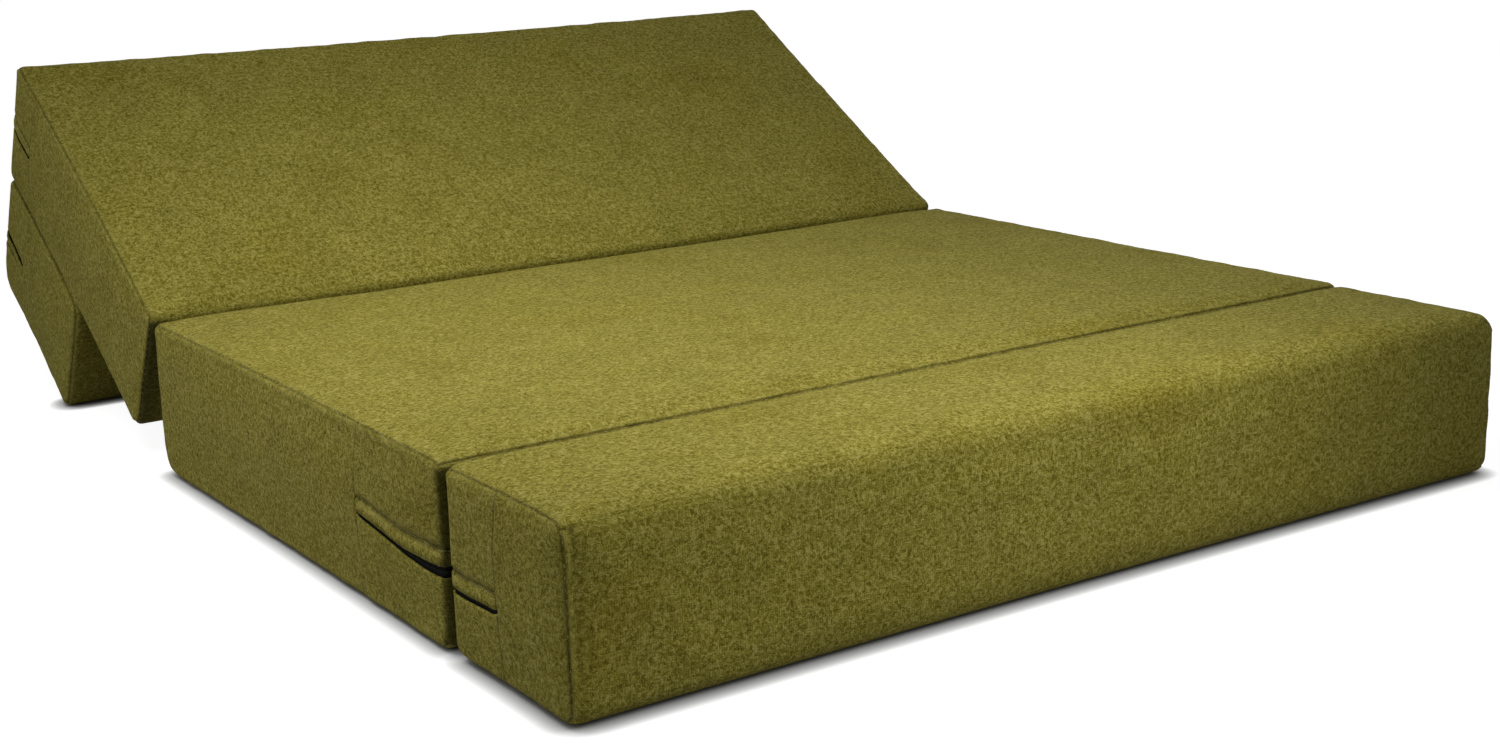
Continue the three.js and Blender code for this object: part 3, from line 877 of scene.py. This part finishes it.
# the whole skin of a section's cover, cut along its seams and slit, and the form that fills it
def coverSkin(section, half):
    bm = gridBlock(2 * half, section["cell"])
    for vert in bm.verts:
        vert.co = padPoint(vert.co, half, section)
    rough = bpy.data.meshes.new("rough")
    bm.to_mesh(rough)
    bm.free()
    swell(rough, half)
    filling = bmesh.new()
    filling.from_mesh(rough)
    wrinkle(filling, section, half)
    bm = bmesh.new()
    bm.from_mesh(rough)
    bpy.data.meshes.remove(rough)
    bm = subdivided(bm)
    side = bm.faces.layers.int["side"]
    for offset in cuts["seam"]:
        ends = [f for f in bm.faces if sideNames[f[side]] in endNames]
        cutFaces(bm, ends, (0, seamPlace(section) + offset, 0), (0, 1, 0))
    level, sewn = zipLevel(section, half), flapLevel(section, half)
    low, high = level - bed["slit"] / 2, level + bed["slit"] / 2
    for row in (low - cuts["slit"], low, level, high, high + cuts["slit"],
                sewn - cuts["flap"], sewn, sewn + cuts["flap"]):
        cutZip(bm, section, row)
    wrinkle(bm, section, half)
    keepInside(bm, half)
    return bm, filling


# the zip's line is loose on the left and drawn straight on the right, where its slider runs;
# shares are of the wrap, from the seam to the section's corner
hanging = {
    "endReach": 0.05, "cornerReach": 0.02, "seamReach": 0.004,
    "sagShare": 0.62, "offEndShare": 0.35, "gapeShare": 0.08, "tightShare": 0.5,
    "openFromShare": 0.4, "openOverShare": 0.5,
    "reach": 0.06, "rimReach": 0.02,
}


# how far the zip's line hangs at a place, how far the slit opens there, and how flat the cloth
# is there, 1 on an end away from its corners
def zipHang(section, half, place):
    share = section["zipSide"] * (place.y - seamPlace(section)) / section["wrap"]
    if share <= 0:
        return 0.0, 0.0, 0.0
    offEnd, tight = hanging["offEndShare"], hanging["tightShare"]
    onEnd = smoothStep((abs(place.x) - half.x) / hanging["endReach"] + 1)
    loose = 1 - smoothStep(0.5 + 0.5 * place.x / half.x)
    hang = section["sag"] * smoothStep(share / hanging["sagShare"])
    hang *= (offEnd + (1 - offEnd) * onEnd) * loose
    gape = section["gape"] * smoothStep(share / hanging["gapeShare"])
    gape *= tight + (1 - tight) * loose
    opened = (share - hanging["openFromShare"]) / hanging["openOverShare"]
    gape += section["open"] * smoothStep(opened) * loose
    flat = onEnd * smoothStep((half.y - abs(place.y)) / hanging["cornerReach"])
    flat *= smoothStep(share * section["wrap"] / hanging["seamReach"])
    return hang, gape * onEnd, flat


# the flap over the zip: it leans out from its stitching down to the slit;
# bands are shares of its height, from the slit up to the stitching
flap = {
    "lean": 0.0018, "edge": 0.0008, "edgeBand": 0.14, "lowestBand": -0.05,
    "valley": 0.0013, "valleyWidth": 0.0019,
    "ripple": 0.0009, "rippleScale": 60, "rippleBand": 0.4, "rippleFade": 2,
}


# lets the zip's line hang, opens the slit, and leans the flap out
def shapePlackets(bm, section, half):
    side = bm.faces.layers.int["side"]
    level = zipLevel(section, half)
    slitTop = level + bed["slit"] / 2
    bm.normal_update()
    for vert in bm.verts:
        sides = {face[side] for face in vert.link_faces}
        if not any(inZip(section, s, vert.co) for s in sides):
            continue
        hang, gape, flat = zipHang(section, half, vert.co)
        near = 1 - smoothStep(abs(vert.co.z - level) / hanging["reach"])
        fromRim = min(1.0, (half.z - abs(vert.co.z)) / hanging["rimReach"])
        band = (vert.co.z - slitTop) / bed["flapBand"]
        push = 0.0
        if band > flap["lowestBand"]:
            if band < 1:
                rolled = bell(max(band, 0.0) / flap["edgeBand"])
                push += flat * (flap["lean"] * (1 - band) - flap["edge"] * rolled)
            ripple = noise.noise(Vector((vert.co.x * flap["rippleScale"],
                                         vert.co.y * flap["rippleScale"], section["seed"])))
            fade = math.exp(-abs(band - flap["rippleBand"]) * flap["rippleFade"])
            push += flat * flap["ripple"] * ripple * fade
            push -= flap["valley"] * bell((band - 1) * bed["flapBand"] / flap["valleyWidth"])
        elif vert.co.z < level:
            hang += gape
        vert.co += vert.normal * push
        vert.co.z -= hang * near * fromRim


panelNames = ["cover_wrap", "end_left", "end_right", "placket_upper", "placket_lower"]


# the panel that a face belongs to; none in the slit
def panelOf(section, half, face, side):
    middle = face.calc_center_median()
    if inZip(section, face[side], middle):
        level = middle.z - zipLevel(section, half)
        if abs(level) < bed["slit"] / 2:
            return None
        return "placket_upper" if level > 0 else "placket_lower"
    return {0: "end_left", 1: "end_right"}.get(face[side], "cover_wrap")


# flat cloth places in metres, so the weave runs along and across each panel
def clothPlace(section, half, face, side, place):
    name, zipSide = sideNames[face[side]], section["zipSide"]
    x, y, z = place
    if name in endNames:
        if not inZip(section, face[side], face.calc_center_median()):
            return y, z
        beyond = half.x + half.y - zipSide * y
        return (-beyond if name == "left" else beyond), z
    if name == "top":
        return x, y
    if name == ("far" if zipSide > 0 else "near"):
        return x, z
    if name == "base":
        return x, zipSide * (-2 * half.y - 2 * half.z) - y
    return x, -zipSide * (half.y + half.z - z)


def layCloth(bm, section, half):
    side, flat = bm.faces.layers.int["side"], bm.verts.layers.float_vector["flat"]
    uv = bm.loops.layers.uv.new("cloth")
    for face in bm.faces:
        for loop in face.loops:
            u, v = clothPlace(section, half, face, side, loop.vert[flat])
            loop[uv].uv = (u + section["seed"], v + section["seed"])


def keepFaces(bm, wanted):
    part = bm.copy()
    unwanted = [face for face, keep in zip(part.faces, wanted) if not keep]
    bmesh.ops.delete(part, geom=unwanted, context="FACES")
    return part


# a smooth mesh in its place; nothing goes through the floor, what rests on it is pressed flat
def newMesh(name, bm, matrix, finish):
    for face in bm.faces:
        face.smooth = True
    mesh = bpy.data.meshes.new(name)
    bm.to_mesh(mesh)
    bm.free()
    mesh.transform(matrix)
    for vert in mesh.vertices:
        vert.co.z = max(vert.co.z, 0.0)
    mesh.materials.append(finishes[finish])
    return mesh


def addPiece(body, kind, bm, matrix, finish, replaced=None):
    name = f"{body}_{kind}"
    piece = newObject(name, newMesh(name, bm, matrix, finish))
    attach(piece, body)
    if replaced:
        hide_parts(f"{body}_{replaced}")
    return piece


def addWall(piece, thickness, offset):
    wall = piece.modifiers.new("clothThickness", "SOLIDIFY")
    wall.thickness = thickness
    wall.offset = offset


def makeCover(name, section, half, skin, matrix):
    side = skin.faces.layers.int["side"]
    panels = [panelOf(section, half, face, side) for face in skin.faces]
    made = skin.copy()
    shapePlackets(made, section, half)
    layCloth(made, section, half)
    for panel in panelNames:
        part = keepFaces(made, [kind == panel for kind in panels])
        piece = addPiece(name, f"{panel}_cloth", part, matrix, "cover", panel)
        addWall(piece, bed["cloth"], -1)
    return made


# moves every vertex inwards along its normal
def shrink(bm, inset):
    bm.normal_update()
    places = [vert.co - vert.normal * inset for vert in bm.verts]
    for vert, place in zip(bm.verts, places):
        vert.co = place


# foam inside the cover, pressed into the cover's shape a little way behind the cloth
foamInset = 0.0038


def makeFoam(name, filling, matrix):
    shrink(filling, foamInset)
    piece = addPiece(name, "foam", filling, matrix, "foam", "foam_core")


# zip: cloth tape behind the plackets, and a coil of small loops standing in the slit
zipSizes = {
    "tape": 0.012, "tapeThick": 0.0006, "behind": 0.0026,
    "pitch": 0.0021, "loop": 0.0026, "wire": 0.00042,
    "slant": 0.25, "endMargin": 0.004,
}


def makeTape(name, section, half, skin, matrix):
    level, width = zipLevel(section, half), zipSizes["tape"]
    tape = skin.copy()
    for edge in (-1, 1):
        cutZip(tape, section, level + edge * width)
    side = tape.faces.layers.int["side"]
    middles = [(face[side], face.calc_center_median()) for face in tape.faces]
    part = keepFaces(tape, [inZip(section, kind, middle) and abs(middle.z - level) < width
                            for kind, middle in middles])
    tape.free()
    hangs = [zipHang(section, half, vert.co) for vert in part.verts]
    shrink(part, zipSizes["behind"])
    for vert, (hang, gape, _) in zip(part.verts, hangs):
        vert.co.z -= hang + gape / 2
    layCloth(part, section, half)
    piece = addPiece(name, "zip_tape", part, matrix, "tape", "zip_chain")
    addWall(piece, zipSizes["tapeThick"], -1)


# places evenly along the zip's line, from one wrap's end round the zipped side to the other's
def zipLine(section, half, step):
    level, zipSide = zipLevel(section, half), section["zipSide"]
    start = section["wrap"] - zipSizes["endMargin"]
    turn = start + 2 * half.x
    for number in range(int((start + turn) / step) + 1):
        run = number * step
        if run < start:
            place, ahead = (-half.x, zipSide * (half.y - start + run)), (0, zipSide, 0)
        elif run < turn:
            place, ahead = (-half.x + run - start, zipSide * half.y), (1, 0, 0)
        else:
            place, ahead = (half.x, zipSide * (half.y - (run - turn))), (0, -zipSide, 0)
        yield Vector((*place, level)), Vector(ahead)


# a thin six-sided rod with its middle at a point
def addRod(bm, spot, along, length, radius, taper=1.0):
    turn = along.to_track_quat("Z", "Y").to_matrix().to_4x4()
    bmesh.ops.create_cone(bm, cap_ends=True, cap_tris=False, segments=6, radius1=radius * taper,
                          radius2=radius, depth=length, matrix=Matrix.Translation(spot) @ turn)


def makeTeeth(name, section, half, skin, matrix):
    tree = BVHTree.FromBMesh(skin)
    bm = bmesh.new()
    up = Vector((0, 0, 1))
    for place, _ in zipLine(section, half, zipSizes["pitch"]):
        spot, outward, _, _ = tree.find_nearest(padPoint(place, half, section))
        hang, gape, _ = zipHang(section, half, spot)
        spot = spot - outward * (zipSizes["behind"] - zipSizes["wire"])
        spot.z -= hang + gape / 2
        slant = up + up.cross(outward).normalized() * zipSizes["slant"]
        addRod(bm, spot, slant.normalized(), zipSizes["loop"], zipSizes["wire"])
    addPiece(name, "zip_coil", bm, matrix, "teeth")


# stitching: short thread ends showing in the seams' valleys, and a full row along the zip's flap
stitch = {
    "pitch": 0.011, "length": 0.0026, "flapPitch": 0.0046, "flapLength": 0.003,
    "radius": 0.00034, "taper": 0.75, "lift": 0.0001,
}


def seamLoops(section, half):
    zipY, seamY, z = section["zipSide"] * half.y, seamPlace(section), half.z
    for x in (-half.x, half.x):
        yield (x, zipY, z), (x, -zipY, z), (x, -zipY, -z), (x, zipY, -z)
        yield (x, seamY, -z), (x, seamY, z)
    for level in (-z, z):
        yield (-half.x, zipY, level), (half.x, zipY, level)


def alongLine(places, step):
    points = [Vector(place) for place in places]
    for first, second in zip(points, points[1:]):
        length = (second - first).length
        for number in range(int(length / step)):
            yield first.lerp(second, (number + 0.5) * step / length), (second - first).normalized()


def makeStitches(name, section, half, cover, matrix):
    tree = BVHTree.FromBMesh(cover)
    bm = bmesh.new()

    def addStitch(place, ahead, length):
        spot, outward, _, _ = tree.find_nearest(padPoint(place, half, section))
        along = (ahead - outward * ahead.dot(outward)).normalized()
        spot = spot + outward * stitch["lift"]
        addRod(bm, spot, along, length, stitch["radius"], stitch["taper"])

    for places in seamLoops(section, half):
        for place, ahead in alongLine(places, stitch["pitch"]):
            addStitch(place, ahead, stitch["length"])
    followed = 1 - smoothStep(bed["flapBand"] / hanging["reach"])
    for place, ahead in zipLine(section, half, stitch["flapPitch"]):
        place.z = flapLevel(section, half)
        hang, _, _ = zipHang(section, half, padPoint(place, half, section))
        place.z -= hang * followed
        addStitch(place, ahead, stitch["flapLength"])
    addPiece(name, "stitching", bm, matrix, "thread")


def makeSection(name):
    section = sections[name]
    half = Vector((bed["width"], section["length"], bed["height"])) / 2
    matrix = sectionFrame(name) @ Matrix.Translation((0, 0, half.z))
    skin, filling = coverSkin(section, half)
    cover = makeCover(name, section, half, skin, matrix)
    makeFoam(name, filling, matrix)
    makeTape(name, section, half, skin, matrix)
    makeTeeth(name, section, half, skin, matrix)
    makeStitches(name, section, half, cover, matrix)
    skin.free()
    cover.free()
    print(name, "section made")


for sectionName in sections:
    makeSection(sectionName)

# fabric hinges: two legs down into a crease, or one flat strip across two stacked sections
strip = {
    "thickness": 0.0012, "clearance": 0.0003, "foldRound": 0.013,
    "leg": 0.024, "lap": 0.018, "endMargin": 0.018,
    "cellsAlong": 60, "legCells": 6, "underCells": 20,
}
lie = bed["foldGap"] / 2 - strip["clearance"] - strip["thickness"] / 2
legTop = bed["hingeRise"] + strip["foldRound"]
underReach = strip["foldRound"] + bed["stackGap"] / 2


# a strip along X through the points of a path in the Y-Z plane, with its length and width
def stripAlong(path):
    length = bed["width"] - 2 * strip["endMargin"]
    rows = len(path) - 1
    bm = bmesh.new()
    bmesh.ops.create_grid(bm, x_segments=strip["cellsAlong"], y_segments=rows, size=0.5)
    uv = bm.loops.layers.uv.new("cloth")
    runs = [0.0]
    for first, second in zip(path, path[1:]):
        runs.append(runs[-1] + (second - first).length)
    rowOf = {vert: round((vert.co.y + 0.5) * rows) for vert in bm.verts}
    for face in bm.faces:
        for loop in face.loops:
            loop[uv].uv = (loop.vert.co.x * length, runs[rowOf[loop.vert]])
    for vert in bm.verts:
        vert.co = Vector((vert.co.x * length, *path[rowOf[vert]]))
    return bm, length, runs[-1]


def creasePath(openAngle):
    cells, leg = strip["legCells"], strip["leg"]
    along = Vector((math.cos(openAngle), math.sin(openAngle)))
    down = Vector((math.sin(openAngle), -math.cos(openAngle)))
    path = [Vector((-lie, -legTop - leg + leg * i / cells)) for i in range(cells + 1)]
    far = [along * lie + down * (legTop + leg * i / cells) for i in range(cells + 1)]
    path += [path[-1].lerp(far[0], i / cells) for i in range(1, cells)]
    return path + far


def underPath():
    reach, cells = underReach + strip["lap"], strip["underCells"]
    return [Vector((-lie, -reach + 2 * reach * i / cells)) for i in range(cells + 1)]


def makeStrip(name, path, matrix):
    bm, length, width = stripAlong(path)
    piece = newObject(f"{name}_cloth", newMesh(f"{name}_cloth", bm, matrix, "strip"))
    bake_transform(piece)
    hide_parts(name)
    addWall(piece, strip["thickness"], 0)


makeStrip("front_hinge_strip", creasePath(0), hingeFrame("front_fold", 0))
makeStrip("back_hinge_strip", creasePath(lean), hingeFrame("back_fold", 0))
makeStrip("prop_hinge_strip", underPath(), hingeFrame("prop_fold", lean))
print("hinge strips made")

# zip sliders and pulls keep their own shapes, with a satin zinc finish
for sectionName in sections:
    for part in ("zip_slider", "zip_pull"):
        node = frame["nodes"][f"{sectionName}_{part}"]
        node.data.materials.clear()
        node.data.materials.append(finishes["zinc"])
print("metal finished")
